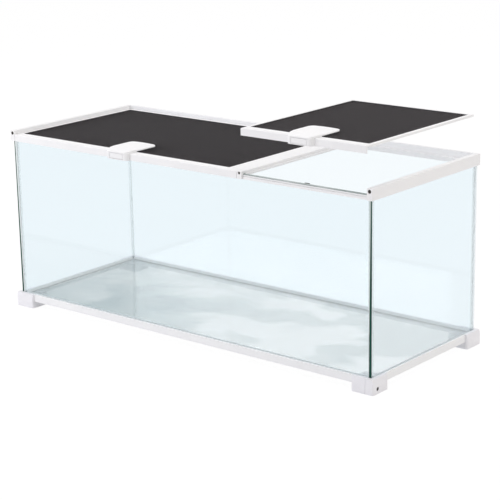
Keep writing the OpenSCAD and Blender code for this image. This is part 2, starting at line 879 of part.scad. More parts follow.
module lifted() { translate([0, 0, lid_lift]) children(); }
module right_lid_bars() { lifted() lid_bars(right_lid_x0, right_lid_x1); }
module right_lid_screen() { lifted() lid_screen(right_lid_x0, right_lid_x1); }
module right_lid_spline() { lifted() lid_spline(right_lid_x0, right_lid_x1); }
module right_lid_strip() { lifted() lid_strip(right_lid_x0, right_lid_x1); }
module right_lid_strip_ends() { lifted() lid_strip_ends(right_lid_x0, right_lid_x1); }
module right_lid_handle() { lifted() handle(right_handle_x); }

front_glass();
back_glass();
left_glass();
right_glass();
floor_glass();
corner_seals();
floor_seals();
base_rail_front();
base_rail_back();
base_rail_left();
base_rail_right();
foot_front_left();
foot_front_right();
foot_back_left();
foot_back_right();
foot_screws();
top_rail_left();
top_rail_right();
top_rail_back();
corner_block_left();
corner_block_right();
crossbar();
crossbar_post();
front_rail_left();
front_rail_right();
front_post_left();
front_post_right();
frame_screws();
catch_left();
catch_right();
left_lid_bars();
left_lid_screen();
left_lid_spline();
left_lid_strip();
left_lid_strip_ends();
left_lid_handle();
right_lid_bars();
right_lid_screen();
right_lid_spline();
right_lid_strip();
right_lid_strip_ends();
right_lid_handle();
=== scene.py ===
# %% [markdown]
# # A glass reptile tank
# The object is a long, low glass box on a white plastic base. A white frame on top carries two
# screened lids that lift straight off. The left lid is seated, the right one is held above its
# bay. The solids are already in the frame, and each cell gives some of them a finish, or makes
# a finer piece that stands for one of them.

# %% Load the frame
import bpy
import math
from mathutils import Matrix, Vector


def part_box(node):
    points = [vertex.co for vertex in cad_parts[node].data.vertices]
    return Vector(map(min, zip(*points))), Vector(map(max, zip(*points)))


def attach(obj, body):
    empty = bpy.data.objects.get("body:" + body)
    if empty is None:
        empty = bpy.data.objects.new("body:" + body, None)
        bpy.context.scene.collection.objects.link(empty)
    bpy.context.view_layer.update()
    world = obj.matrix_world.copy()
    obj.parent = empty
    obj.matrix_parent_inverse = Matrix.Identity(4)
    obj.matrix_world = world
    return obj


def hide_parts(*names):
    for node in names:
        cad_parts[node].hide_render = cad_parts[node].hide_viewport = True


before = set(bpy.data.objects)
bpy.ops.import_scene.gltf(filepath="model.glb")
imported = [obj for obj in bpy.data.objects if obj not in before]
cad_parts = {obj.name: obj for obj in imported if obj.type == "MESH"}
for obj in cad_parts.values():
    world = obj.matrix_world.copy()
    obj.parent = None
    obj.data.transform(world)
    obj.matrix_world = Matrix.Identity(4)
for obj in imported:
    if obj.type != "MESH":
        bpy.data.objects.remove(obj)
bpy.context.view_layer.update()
MM = 0.001
QUARTER = math.pi / 2

# %% [markdown]
# ## Camera
# A long lens keeps the box's edges nearly parallel. It stands to the right of the front,
# a little above the lids, so that the front, the right end and the top all show.

# %% Camera
LENS, SENSOR = 117.0, 36.0
CAMERA_PLACE, CAMERA_TURN = (1.7937, -2.1341, 0.9123), (74.451, 0.983, 39.271)

camera_data = bpy.data.cameras.new("camera")
camera_data.lens = LENS
camera_data.sensor_width = SENSOR
camera = bpy.data.objects.new("camera", camera_data)
camera.location = CAMERA_PLACE
camera.rotation_euler = [math.radians(angle) for angle in CAMERA_TURN]
bpy.context.scene.collection.objects.link(camera)
bpy.context.scene.camera = camera
bpy.context.scene.view_settings.view_transform = "Standard"
print("lens:", LENS, "mm")

# %% [markdown]
# ## Node helpers
# A material and the world's light are both small graphs of nodes. A few helpers add the nodes
# that every finish needs: a sum, a mix of two shaders, a stretched range and a mix of colours.
# Patterns read object coordinates, so a grain or a streak has its real size on the piece.

# %% Node helpers


def math_node(nodes, links, operation, first, second=None):
    """One Math node; first and second are sockets or plain numbers."""
    node = nodes.new("ShaderNodeMath")
    node.operation = operation
    for index, value in enumerate((first, second)):
        if isinstance(value, (int, float)):
            node.inputs[index].default_value = value
        elif value is not None:
            links.new(value, node.inputs[index])
    return node.outputs[0]


def mix_shaders(nodes, links, factor, first, second):
    """A Mix Shader of two shader sockets by a factor."""
    mix = nodes.new("ShaderNodeMixShader")
    if isinstance(factor, (int, float)):
        mix.inputs["Fac"].default_value = factor
    else:
        links.new(factor, mix.inputs["Fac"])
    links.new(first, mix.inputs[1])
    links.new(second, mix.inputs[2])
    return mix.outputs[0]


def ramp_between(nodes, links, source, low, high, start=0.3, stop=0.7):
    """Maps a value to low..high between start and stop."""
    spread = nodes.new("ShaderNodeMapRange")
    spread.inputs["From Min"].default_value = start
    spread.inputs["From Max"].default_value = stop
    spread.inputs["To Min"].default_value = low
    spread.inputs["To Max"].default_value = high
    links.new(source, spread.inputs["Value"])
    return spread.outputs["Result"]


def mix_colours(nodes, links, factor, first, second):
    """Mixes two colours, each a socket or three numbers, by a 0 to 1 socket."""
    mix = nodes.new("ShaderNodeMix")
    mix.data_type = "RGBA"
    for index, colour in ((6, first), (7, second)):
        if isinstance(colour, tuple):
            mix.inputs[index].default_value = (*colour, 1.0)
        else:
            links.new(colour, mix.inputs[index])
    links.new(factor, mix.inputs["Factor"])
    return mix.outputs[2]


def tint_between(nodes, links, source, first, second, start=0.35, stop=0.65):
    """Mixes two colours by a value that runs from start to stop."""
    share = ramp_between(nodes, links, source, 0.0, 1.0, start, stop)
    return mix_colours(nodes, links, share, first, second)


def show(nodes, links, surface):
    """Makes a shader socket the one that the material shows."""
    links.new(surface, nodes["Material Output"].inputs["Surface"])


# %% Finish helpers


def new_finish(name, colour, roughness, **sockets):
    """A material with one Principled shader, and its node tree's parts."""
    finish = bpy.data.materials.new(name)
    finish.use_nodes = True
    shader = finish.node_tree.nodes["Principled BSDF"]
    shader.inputs["Base Color"].default_value = (*colour, 1.0)
    shader.inputs["Roughness"].default_value = roughness
    for socket, value in sockets.items():
        shader.inputs[socket.replace("_", " ")].default_value = value
    finish.diffuse_color = (*colour, 1.0)
    return finish, finish.node_tree.nodes, finish.node_tree.links, shader


def object_axes(nodes, links):
    """The three object coordinates of the point that is looked at."""
    coord = nodes.new("ShaderNodeTexCoord")
    place = nodes.new("ShaderNodeSeparateXYZ")
    links.new(coord.outputs["Object"], place.inputs[0])
    return place.outputs


def pattern(nodes, links, scale, detail=2.0, stretch=(1.0, 1.0, 1.0)):
    """A noise on object coordinates, stretched along an axis by a small factor."""
    coord = nodes.new("ShaderNodeTexCoord")
    mapping = nodes.new("ShaderNodeMapping")
    mapping.inputs["Scale"].default_value = stretch
    noise = nodes.new("ShaderNodeTexNoise")
    noise.inputs["Scale"].default_value = scale
    noise.inputs["Detail"].default_value = detail
    links.new(coord.outputs["Object"], mapping.inputs["Vector"])
    links.new(mapping.outputs["Vector"], noise.inputs["Vector"])
    return noise.outputs["Fac"]


def add_bump(nodes, links, shader, source, distance):
    """Raises the surface by distance where source is 1."""
    bump = nodes.new("ShaderNodeBump")
    bump.inputs["Distance"].default_value = distance
    bump.inputs["Strength"].default_value = 1.0
    links.new(source, bump.inputs["Height"])
    links.new(bump.outputs["Normal"], shader.inputs["Normal"])


# %% [markdown]
# ## Floor and light
# The tank stands on a white table in a white room. Wide lamps keep every shadow soft. The world
# is pale grey as a lamp, a little cooler on one side, but pure white to the camera and to what
# glass mirrors or lets through.

# %% World
ROOM_LIGHT = 0.65
COOL, WARM = (0.955, 0.955, 1.02), (1.035, 0.985, 0.93)
WARM_SIDE = (0.77, 0.64, 0.0)


def see_white(nodes, links):
    """A value that is 1 for rays from the camera, from a mirror and through glass."""
    path = nodes.new("ShaderNodeLightPath")
    value = path.outputs["Is Camera Ray"]
    for name in ("Is Glossy Ray", "Is Transmission Ray"):
        value = math_node(nodes, links, "MAXIMUM", value, path.outputs[name])
    return value


world = bpy.data.worlds.new("white_room")
bpy.context.scene.world = world
world.use_nodes = True
nodes, links = world.node_tree.nodes, world.node_tree.links
nodes.clear()
direction = nodes.new("ShaderNodeTexCoord")
warmth = nodes.new("ShaderNodeVectorMath")
warmth.operation = "DOT_PRODUCT"
warmth.inputs[1].default_value = WARM_SIDE
links.new(direction.outputs["Generated"], warmth.inputs[0])
lamp_side = nodes.new("ShaderNodeBackground")
lamp_side.inputs["Strength"].default_value = ROOM_LIGHT
links.new(tint_between(nodes, links, warmth.outputs["Value"], COOL, WARM, -1.0, 1.0),
          lamp_side.inputs["Color"])
seen_side = nodes.new("ShaderNodeBackground")
seen_side.inputs["Color"].default_value = (1.0, 1.0, 1.0, 1.0)
links.new(mix_shaders(nodes, links, see_white(nodes, links), lamp_side.outputs[0],
                      seen_side.outputs[0]),
          nodes.new("ShaderNodeOutputWorld").inputs["Surface"])
print("room light:", ROOM_LIGHT)

# %% Floor
TABLE_SIZE, TABLE_DROP = 60.0, 0.4 * MM
TABLE_WHITE, TABLE_ROUGH = (0.93, 0.93, 0.93), 0.8
FLOOR_GLOW, FLOOR_WHITE = 0.88, 1.05


def deselect():
    """Leaves nothing selected, so that the next operator acts on its own piece alone."""
    for obj in bpy.context.selected_objects:
        obj.select_set(False)


deselect()
bpy.ops.mesh.primitive_plane_add(size=TABLE_SIZE, location=(0.0, 0.0, -TABLE_DROP))
table = bpy.context.object
table.name = "table"
table_finish, nodes, links, paint = new_finish("white_table", TABLE_WHITE, TABLE_ROUGH,
                                               Specular_IOR_Level=0.0)
glow = nodes.new("ShaderNodeEmission")
glow.inputs["Strength"].default_value = FLOOR_WHITE
glowing = math_node(nodes, links, "MULTIPLY", see_white(nodes, links), FLOOR_GLOW)
show(nodes, links, mix_shaders(nodes, links, glowing, paint.outputs[0], glow.outputs[0]))
table.data.materials.append(table_finish)
print("floor at", -TABLE_DROP / MM, "mm")

# %% Lamps


def lamp(name, place, target, size, power, colour):
    """A square area lamp that points at target."""
    data = bpy.data.lights.new(name, "AREA")
    data.shape = "SQUARE"
    data.size = size
    data.energy = power
    data.color = colour
    obj = bpy.data.objects.new(name, data)
    obj.location = place
    aim = Vector(target) - Vector(place)
    obj.rotation_euler = aim.to_track_quat("-Z", "Y").to_euler()
    bpy.context.scene.collection.objects.link(obj)
    print("lamp", name, power, "W")


MIDDLE = (0.0, 0.0, 0.2)
lamp("overhead", place=(0.0, 0.2, 2.6), target=MIDDLE, size=2.4, power=24.0,
     colour=(1.0, 1.0, 1.0))
lamp("left_front", place=(-1.4, -1.6, 0.85), target=(-0.4, -0.1, 0.2), size=1.1, power=11.5,
     colour=(0.98, 0.98, 1.0))
lamp("right_fill", place=(2.6, 0.6, 1.0), target=MIDDLE, size=1.8, power=6.5,
     colour=(1.0, 0.97, 0.92))

# %% [markdown]
# ## White plastic
# The frame, the base and the lids are glossy white plastic. Moulded pieces have a fine even
# grain. Extruded ones were pressed through a die, which leaves faint lines along their length.
# One plain colour would look like paper, and a picture of plastic would show its seams, so a
# noise moves the gloss and the surface, stretched along one axis where there are lines. The feet
# are a slightly duller, cooler white.

# %% White plastics
WHITE, WHITE_DARK = (0.90, 0.90, 0.905), (0.875, 0.875, 0.885)
FOOT_WHITE, FOOT_DARK = (0.86, 0.855, 0.885), (0.84, 0.835, 0.865)
DRAWN_X, DRAWN_Y, EVEN = (0.01, 1.0, 1.0), (1.0, 0.01, 1.0), (1.0, 1.0, 1.0)
DRAWN_ROUGH, MOULD_ROUGH, FOOT_ROUGH = 0.34, 0.40, 0.42
DRAWN_SCALE, MOULD_SCALE, TONE_SCALE = 1800.0, 1400.0, 14.0
GRAIN_HEIGHT, LESS_ROUGH, MORE_ROUGH = 0.04 * MM, 0.06, 0.08


def white_finish(name, light, dark, rough, stretch, scale):
    """White plastic: a slight change of tone and a fine grain, or faint lines if stretched."""
    finish, nodes, links, shader = new_finish(name, light, rough)
    tone = pattern(nodes, links, TONE_SCALE)
    links.new(tint_between(nodes, links, tone, dark, light), shader.inputs["Base Color"])
    grain = pattern(nodes, links, scale, stretch=stretch)
    links.new(ramp_between(nodes, links, grain, rough - LESS_ROUGH, rough + MORE_ROUGH),
              shader.inputs["Roughness"])
    add_bump(nodes, links, shader, grain, GRAIN_HEIGHT)
    return finish


along_x = white_finish("white_extrusion_x", WHITE, WHITE_DARK, DRAWN_ROUGH, DRAWN_X, DRAWN_SCALE)
along_y = white_finish("white_extrusion_y", WHITE, WHITE_DARK, DRAWN_ROUGH, DRAWN_Y, DRAWN_SCALE)
moulded = white_finish("white_moulding", WHITE, WHITE_DARK, MOULD_ROUGH, EVEN, MOULD_SCALE)
feet_white = white_finish("white_foot", FOOT_WHITE, FOOT_DARK, FOOT_ROUGH, EVEN, MOULD_SCALE)
print("white finishes:", [m.name for m in (along_x, along_y, moulded, feet_white)])

# %% [markdown]
# ## Glass
# Clear float glass shows its green only where one looks into an edge. A true glass shader would
# leave the inside of the tank dark, because lamps reach it only by chance. So the panes let the
# lamps' light through as if they weren't there, tinted a little, and stay glass to the camera.

# %% Clear glass
CLEAR_TINT, CLEAR_BEND = (0.896, 0.945, 0.968), 1.45


def see_through(nodes, links, shader, tint):
    """The shader as it is, but lamps and the room's soft light pass it.

    A pane has two faces, so each of them passes the square root of the tint.
    """
    path = nodes.new("ShaderNodeLightPath")
    passing = math_node(nodes, links, "MAXIMUM", path.outputs["Is Shadow Ray"],
                        path.outputs["Is Diffuse Ray"])
    clear = nodes.new("ShaderNodeBsdfTransparent")
    clear.inputs["Color"].default_value = (*(math.sqrt(part) for part in tint), 1.0)
    return mix_shaders(nodes, links, passing, shader.outputs[0], clear.outputs[0])


def face_axis(nodes, links, axis):
    """How far a face looks along an axis: -1 to 1."""
    geometry = nodes.new("ShaderNodeNewGeometry")
    facing = nodes.new("ShaderNodeSeparateXYZ")
    links.new(geometry.outputs["True Normal"], facing.inputs[0])
    return facing.outputs[axis]


# %% [markdown]
# ## Bedded edges
# Most edges of the panes lie in pale silicone or in plastic. What is seen of them is milky, lit
# from the front and from behind, and partly clear. The faces could be given a second material,
# but a pane is one solid that stays as it is, so its shader finds the edges by their normal.

# %% Bedded edges
BEDDED, BEDDED_DARK, BEDDED_CLEAR = (0.95, 0.97, 0.965), (0.90, 0.93, 0.925), 0.55
CLOUD_SCALE = 30.0


def milky_light(nodes, links, tone):
    """Half the light thrown back by the face, half let through and spread."""
    front_lit = nodes.new("ShaderNodeBsdfDiffuse")
    back_lit = nodes.new("ShaderNodeBsdfTranslucent")
    for shader in (front_lit, back_lit):
        links.new(tone, shader.inputs["Color"])
    return mix_shaders(nodes, links, 0.5, front_lit.outputs[0], back_lit.outputs[0])


def bed_edges(nodes, links, surface, across):
    """The surface, with pale edges where a pane whose faces lie across an axis is bedded."""
    cloud = pattern(nodes, links, CLOUD_SCALE)
    milky = milky_light(nodes, links, tint_between(nodes, links, cloud, BEDDED_DARK, BEDDED))
    clear = nodes.new("ShaderNodeBsdfTransparent")
    bedded = mix_shaders(nodes, links, BEDDED_CLEAR, milky, clear.outputs[0])
    flat = math_node(nodes, links, "ABSOLUTE", face_axis(nodes, links, across))
    is_edge = math_node(nodes, links, "LESS_THAN", flat, 0.5)
    surface = mix_shaders(nodes, links, is_edge, surface, bedded)
    show(nodes, links, surface)
    return surface


def pane_finish(name, across):
    """Clear float glass with its faces across an axis."""
    finish, nodes, links, shader = new_finish(name, CLEAR_TINT, 0.0, Transmission_Weight=1.0,
                                              IOR=CLEAR_BEND)
    surface = see_through(nodes, links, shader, CLEAR_TINT)
    return finish, nodes, links, bed_edges(nodes, links, surface, across)


def finish_node(node, finish):
    """Puts a finish on a CAD node's slots; the node itself stays as it is."""
    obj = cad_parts[node]
    for index in range(len(obj.data.materials)):
        obj.data.materials[index] = finish
    if not obj.data.materials:
        obj.data.materials.append(finish)
    print(node, "is", finish.name)


finish_node("back_glass", pane_finish("back_pane", across=1)[0])

# %% [markdown]
# ## The front pane's rim
# The front pane's top edge is polished and bare between the two front rails. Seen from above it
# is a fine grey-green line with soft streaks. Glass that fine would render as noise, so the
# topmost part of the pane gets that colour as paint.

# %% Front pane
RIM_DARK, RIM_LIGHT = (0.33, 0.39, 0.38), (0.44, 0.50, 0.49)
RIM_H, EDGE_ROUGH, STREAK_SCALE = 1.4 * MM, 0.15, 25.0

front_pane, nodes, links, surface = pane_finish("front_pane", across=1)
rim = nodes.new("ShaderNodeBsdfPrincipled")
rim.inputs["Roughness"].default_value = EDGE_ROUGH
streak = pattern(nodes, links, STREAK_SCALE)
links.new(tint_between(nodes, links, streak, RIM_DARK, RIM_LIGHT), rim.inputs["Base Color"])
rim_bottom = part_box("front_glass")[1][2] - RIM_H
is_rim = math_node(nodes, links, "GREATER_THAN", object_axes(nodes, links)[2], rim_bottom)
show(nodes, links, mix_shaders(nodes, links, is_rim, surface, rim.outputs[0]))
finish_node("front_glass", front_pane)
print("rim from", round(rim_bottom / MM, 1), "mm up")

# %% [markdown]
# ## The end panes
# The front edges of the two end panes are bare. Such an edge is dark green where one looks deep
# into the glass and pale beside the silicone, and the green gets narrower towards the top. The
# green is the glass's own colour. The pale part and the green's depth are light on its way through
# the glass, which takes very many samples. So that light is painted: the colour runs from the
# pane's inner side to its outer one, and starts later higher up.

# %% End panes
EDGE_GREEN, EDGE_GLOSS, EDGE_STEP = (0.008, 0.055, 0.038), 0.12, 5.0
# the pale colours and where the green starts are painted light through the glass
LEFT_PALE, RIGHT_PALE = (0.80, 0.87, 0.87), (0.50, 0.58, 0.55)
LEFT_START, RIGHT_START = (0.10, 0.50), (-0.25, 0.50)


def edge_green(nodes, links, place, side, starts, pale):
    """The bare edge in painted light: pale at the pane's inner side, green beyond a start that
    moves outwards.
    """
    low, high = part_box(side + "_glass")
    inner, outer = (high[0], low[0]) if side == "left" else (low[0], high[0])
    outward = ramp_between(nodes, links, place[0], 0.0, 1.0, inner, outer)
    start = ramp_between(nodes, links, place[2], *starts, low[2], high[2])
    depth = math_node(nodes, links, "SUBTRACT", outward, start)
    green = math_node(nodes, links, "MULTIPLY", depth, EDGE_STEP)
    edge = nodes.new("ShaderNodeBsdfPrincipled")
    edge.inputs["Roughness"].default_value = EDGE_ROUGH
    edge.inputs["Specular IOR Level"].default_value = EDGE_GLOSS
    links.new(tint_between(nodes, links, green, pale, EDGE_GREEN, 0.0, 1.0),
              edge.inputs["Base Color"])
    return edge.outputs[0]


def end_pane_finish(side, starts, pale):
    """An end pane with its bare front edge, which faces forwards and lies in the front half."""
    finish, nodes, links, surface = pane_finish(side + "_end_pane", across=0)
    place = object_axes(nodes, links)
    edge = edge_green(nodes, links, place, side, starts, pale)
    looks_front = math_node(nodes, links, "LESS_THAN", face_axis(nodes, links, 1), -0.5)
    in_front = math_node(nodes, links, "LESS_THAN", place[1], 0.0)
    is_front = math_node(nodes, links, "MULTIPLY", looks_front, in_front)
    show(nodes, links, mix_shaders(nodes, links, is_front, surface, edge))
    return finish


finish_node("left_glass", end_pane_finish("left", LEFT_START, LEFT_PALE))
finish_node("right_glass", end_pane_finish("right", RIGHT_START, RIGHT_PALE))

# %% [markdown]
# ## The floor pane
# The floor is a duller pane with slow waves. It is deep teal at its front left, which is painted
# shade, and paler to the right and the back, which is painted reflection of the bright room. Soft
# painted highlights lie on the right. One colour would look like a sheet of plastic. So two ramps
# along the pane, which paint that shade and that reflection, and a slow noise are added up. Their
# sum chooses the colour, while a bump gives the waves.

# %% Floor pane
# the deep colour is painted shade, and the gleam colour is a painted highlight
FLOOR_TINT, FLOOR_SHADED_TEAL, FLOOR_PAINTED_GLEAM = (0.75, 0.77, 0.765), (0.41, 0.485, 0.495), (0.92, 0.92, 0.91)
FLOOR_CLEAR, FLOOR_ROUGH, FLOOR_BEND, WAVE_HEIGHT = 0.80, 0.03, 1.5, 1.5 * MM
PALE_FROM_X, PALE_TO_X, PALE_FROM_Y, PALE_TO_Y = -0.42, 0.12, -0.15, 0.15
BACK_SHARE, CLOUD_SHARE = 0.45, 0.35
DRIFT_SCALE, GLEAM_SCALE, WAVE_SCALE = 6.0, 9.0, 11.0
GLEAM_STRETCH, WAVE_STRETCH, GLEAM_FROM, GLEAM_TO = (0.8, 1.0, 1.0), (0.75, 1.0, 1.0), 0.50, 0.58


def floor_colour(nodes, links):
    """The floor pane's colour: deep where shade is painted at the front left, pale where
    reflection is painted to the right and back, and painted highlights laid over it.
    """
    place = object_axes(nodes, links)
    # painted shade at the front left turns to painted reflection towards the right
    along = ramp_between(nodes, links, place[0], 0.0, 1.0, PALE_FROM_X, PALE_TO_X)
    # more painted reflection towards the back
    back = ramp_between(nodes, links, place[1], 0.0, BACK_SHARE, PALE_FROM_Y, PALE_TO_Y)
    drift = pattern(nodes, links, DRIFT_SCALE)
    cloud = ramp_between(nodes, links, drift, -CLOUD_SHARE, CLOUD_SHARE)
    both = math_node(nodes, links, "ADD", along, back)
    share = math_node(nodes, links, "ADD", both, cloud)
    body = tint_between(nodes, links, share, FLOOR_SHADED_TEAL, FLOOR_TINT, 0.0, 1.0)
    # painted highlights, laid only where the floor is paler
    gleam = pattern(nodes, links, GLEAM_SCALE, stretch=GLEAM_STRETCH)
    bright = ramp_between(nodes, links, gleam, 0.0, 1.0, GLEAM_FROM, GLEAM_TO)
    painted_gleams = math_node(nodes, links, "MULTIPLY", along, bright)
    return mix_colours(nodes, links, painted_gleams, body, FLOOR_PAINTED_GLEAM)


floor_pane, nodes, links, shader = new_finish("floor_pane", FLOOR_TINT, FLOOR_ROUGH,
                                              Transmission_Weight=FLOOR_CLEAR, IOR=FLOOR_BEND)
links.new(floor_colour(nodes, links), shader.inputs["Base Color"])
waves = pattern(nodes, links, WAVE_SCALE, detail=3.0, stretch=WAVE_STRETCH)
add_bump(nodes, links, shader, waves, WAVE_HEIGHT)
bed_edges(nodes, links, see_through(nodes, links, shader, FLOOR_TINT), across=2)
finish_node("floor_glass", floor_pane)

# %% [markdown]
# ## Silicone
# Two beads hold the glass. The one in the upright corners is almost clear. The one round the
# floor pane is milky. Subsurface light would suit silicone, but the beads are thin, so a mix of
# a translucent and a clear shader does. Its gloss changes a little along a bead.

# %% Silicone
SEAL_ROUGH, SEAL_GLOSSY, SEAL_DULL, BEAD_SCALE = 0.25, 0.18, 0.38, 60.0
SEAL_TINT = (0.985, 0.995, 0.995)
CORNER_COLOUR, CORNER_CLEAR = (0.89, 0.91, 0.90), 0.86
SEAM_COLOUR, SEAM_CLEAR = (0.97, 0.975, 0.97), 0.08


def silicone_finish(name, colour, clearness):
    """Silicone that lets a share of the light straight through and spreads the rest."""
    finish, nodes, links, shader = new_finish(name, colour, SEAL_ROUGH)
    beads = pattern(nodes, links, BEAD_SCALE)
    links.new(ramp_between(nodes, links, beads, SEAL_GLOSSY, SEAL_DULL),
              shader.inputs["Roughness"])
    through = nodes.new("ShaderNodeBsdfTransparent")
    through.inputs["Color"].default_value = (*SEAL_TINT, 1.0)
    glaze = nodes.new("ShaderNodeBsdfTranslucent")
    glaze.inputs["Color"].default_value = (*colour, 1.0)
    milky = mix_shaders(nodes, links, 0.5, shader.outputs[0], glaze.outputs[0])
    show(nodes, links, mix_shaders(nodes, links, clearness, milky, through.outputs[0]))
    return finish


finish_node("corner_seals", silicone_finish("clear_silicone", CORNER_COLOUR, CORNER_CLEAR))
finish_node("floor_seals", silicone_finish("milky_silicone", SEAM_COLOUR, SEAM_CLEAR))

# %% [markdown]
# ## Dark finishes
# The screens are charcoal coated wire, held by a soft dull bead. The screws are blackened steel,
# paler where they were turned. The two catches behind the front pane are made black, which is
# painted shade for the shaded end of the catch. Pure black would swallow every form, so each is a
# dark grey of its own, with a fine noise that moves its gloss or its tone.

# %% Wire
WIRE, WIRE_DARK, WIRE_LIGHT = (0.022, 0.018, 0.0195), (0.017, 0.0135, 0.015), (0.028, 0.023, 0.025)
WIRE_SHINE, COAT_SCALE, COAT_GLOSSY, COAT_DULL = 0.25, 900.0, 0.40, 0.62

wire_finish, nodes, links, shader = new_finish("charcoal_wire", WIRE, 0.55,
                                               Specular_IOR_Level=WIRE_SHINE)
coat = pattern(nodes, links, COAT_SCALE)
links.new(tint_between(nodes, links, coat, WIRE_DARK, WIRE_LIGHT), shader.inputs["Base Color"])
links.new(ramp_between(nodes, links, coat, COAT_GLOSSY, COAT_DULL), shader.inputs["Roughness"])
print("wire colour:", WIRE)

# %% Soft bead
BEAD, RIB_SCALE, RIB_HEIGHT = (0.05, 0.048, 0.052), 700.0, 0.1 * MM

bead_finish, nodes, links, shader = new_finish("soft_bead", BEAD, 0.7)
ribs = pattern(nodes, links, RIB_SCALE, detail=1.0)
add_bump(nodes, links, shader, ribs, RIB_HEIGHT)
links.new(ramp_between(nodes, links, ribs, 0.6, 0.8), shader.inputs["Roughness"])
print("rib height:", round(RIB_HEIGHT / MM, 2), "mm")

# %% Blackened steel
STEEL, STEEL_DARK, STEEL_LIGHT = (0.055, 0.048, 0.045), (0.045, 0.040, 0.038), (0.11, 0.10, 0.095)
STEEL_ROUGH, TURNED_SCALE = 0.38, 1500.0

screw_steel, nodes, links, shader = new_finish("blackened_steel", STEEL, STEEL_ROUGH,
                                               Metallic=1.0)
turned = pattern(nodes, links, TURNED_SCALE)
links.new(tint_between(nodes, links, turned, STEEL_DARK, STEEL_LIGHT),
          shader.inputs["Base Color"])
print("steel colour:", STEEL)

# %% Black catch, painted shade
# the catch's black is painted shade
CATCH_SHADE_BLACK, SPECK_HEIGHT, SPECK_GLOSSY, SPECK_DULL = (0.02, 0.02, 0.022), 0.05 * MM, 0.38, 0.52

black_plastic, nodes, links, shader = new_finish("catch_painted_shade", CATCH_SHADE_BLACK, 0.45)
speck = pattern(nodes, links, MOULD_SCALE)
add_bump(nodes, links, shader, speck, SPECK_HEIGHT)
links.new(ramp_between(nodes, links, speck, SPECK_GLOSSY, SPECK_DULL),
          shader.inputs["Roughness"])
print("materials:", len(bpy.data.materials))

# %% [markdown]
# ## Ways of working
# Every new piece starts as a primitive or as a copy of its solid and is shaped in edit mode. The
# helpers below only save typing: they make a piece the active one, apply its modifiers, and set
# it down at the origin with its place kept in its mesh.

# %% Shaping helpers


def activate(obj):
    """Makes obj the only selected and the active object."""
    deselect()
    obj.select_set(True)
    bpy.context.view_layer.objects.active = obj


def settle(obj, smooth):
    """Puts a piece's place, turn and scale into its mesh and smooths what isn't a sharp edge."""
    activate(obj)
    bpy.ops.object.transform_apply(location=True, rotation=True, scale=True)
    bpy.ops.object.shade_smooth_by_angle(angle=math.radians(smooth))
    return obj


def add_box(name, low, high):
    """A box between two corners, in metres."""
    deselect()
    centre = [(a + b) / 2 for a, b in zip(low, high)]
    bpy.ops.mesh.primitive_cube_add(size=1.0, location=centre)
    obj = bpy.context.object
    obj.name = name
    obj.scale = [b - a for a, b in zip(low, high)]
    bpy.ops.object.transform_apply(location=True, rotation=True, scale=True)
    return obj


def apply_modifiers(obj):
    """Applies every modifier of a piece, in order."""
    activate(obj)
    for modifier in list(obj.modifiers):
        bpy.ops.object.modifier_apply(modifier=modifier.name)
    return obj


def dress(obj, finish, body, slot, *stands_for):
    """Gives a new piece its finish and its body, and hides the nodes that it stands for. The slot
    is not used.
    """
    obj.data.materials.clear()
    obj.data.materials.append(finish)
    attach(obj, body)
    if stands_for:
        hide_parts(*stands_for)
    return obj


# %% [markdown]
# ## Soft edges
# A real moulding has no sharp edge, and a soft edge catches the light. Each piece could be built
# again from a cube, but its solid already has the right section. So each moulded or extruded
# piece is a welded copy of its solid, with every sharp edge rounded by a bevel. Weighted normals
# keep the flat faces' shading flat.

# %% Soft copies
EDGE_R, CATCH_R, SPLINE_R = 0.35 * MM, 0.3 * MM, 0.4 * MM
WELD, FLAT_ANGLE, SHARP_ANGLE = 0.005 * MM, 1.0, 34.0


def round_edges(obj, width):
    """Rounds the sharp edges and keeps the flat faces' shading flat."""
    bevel = obj.modifiers.new("round", "BEVEL")
    bevel.width = width
    bevel.segments = 2
    bevel.limit_method = "ANGLE"
    bevel.angle_limit = math.radians(SHARP_ANGLE)
    bevel.use_clamp_overlap = True
    activate(obj)
    bpy.ops.object.shade_smooth()
    weigh = obj.modifiers.new("weigh", "WEIGHTED_NORMAL")
    weigh.weight = 100
    return apply_modifiers(obj)


def soft_copy(node, finish, body, width, slot="white_plastic", shape=None):
    """A welded copy of a CAD node with rounded edges, which stands for the node."""
    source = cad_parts[node]
    piece = bpy.data.objects.new(node + "_moulded", source.data.copy())
    bpy.context.scene.collection.objects.link(piece)
    activate(piece)
    bpy.ops.object.mode_set(mode="EDIT")
    bpy.ops.mesh.select_all(action="SELECT")
    bpy.ops.mesh.remove_doubles(threshold=WELD)
    bpy.ops.mesh.dissolve_limited(angle_limit=math.radians(FLAT_ANGLE))
    bpy.ops.mesh.normals_make_consistent(inside=False)
    bpy.ops.object.mode_set(mode="OBJECT")
    if shape:
        shape(piece)
    round_edges(piece, width)
    print(piece.name, len(piece.data.polygons), "faces")
    return dress(piece, finish, body, slot, node)


# %% [markdown]
# ## Small shapes on the mouldings
# The handles, the front rails and the catches carry detail that is finer than their solid. To
# shape a part of a piece, its faces or vertices are picked by their place and the way they look,
# and are then extruded or moved.

# %% Pick and push


def start_picking(obj, kind):
    """Leaves no face, edge or vertex of a piece selected, in object mode."""
    activate(obj)
    bpy.ops.object.mode_set(mode="EDIT")
    bpy.ops.mesh.select_mode(type=kind)
    bpy.ops.mesh.select_all(action="DESELECT")
    bpy.ops.object.mode_set(mode="OBJECT")


def pick_faces(obj, wanted):
    """Selects the faces for which wanted(centre, normal) holds and says how many they are."""
    start_picking(obj, "FACE")
    count = 0
    for face in obj.data.polygons:
        face.select = wanted(face.center, face.normal)
        count += face.select
    bpy.ops.object.mode_set(mode="EDIT")
    return count


def push(obj, wanted, step):
    """Extrudes the picked faces by a step along Y."""
    found = pick_faces(obj, wanted)
    bpy.ops.mesh.extrude_region_move(TRANSFORM_OT_translate={"value": (0.0, step, 0.0)})
    bpy.ops.object.mode_set(mode="OBJECT")
    return found


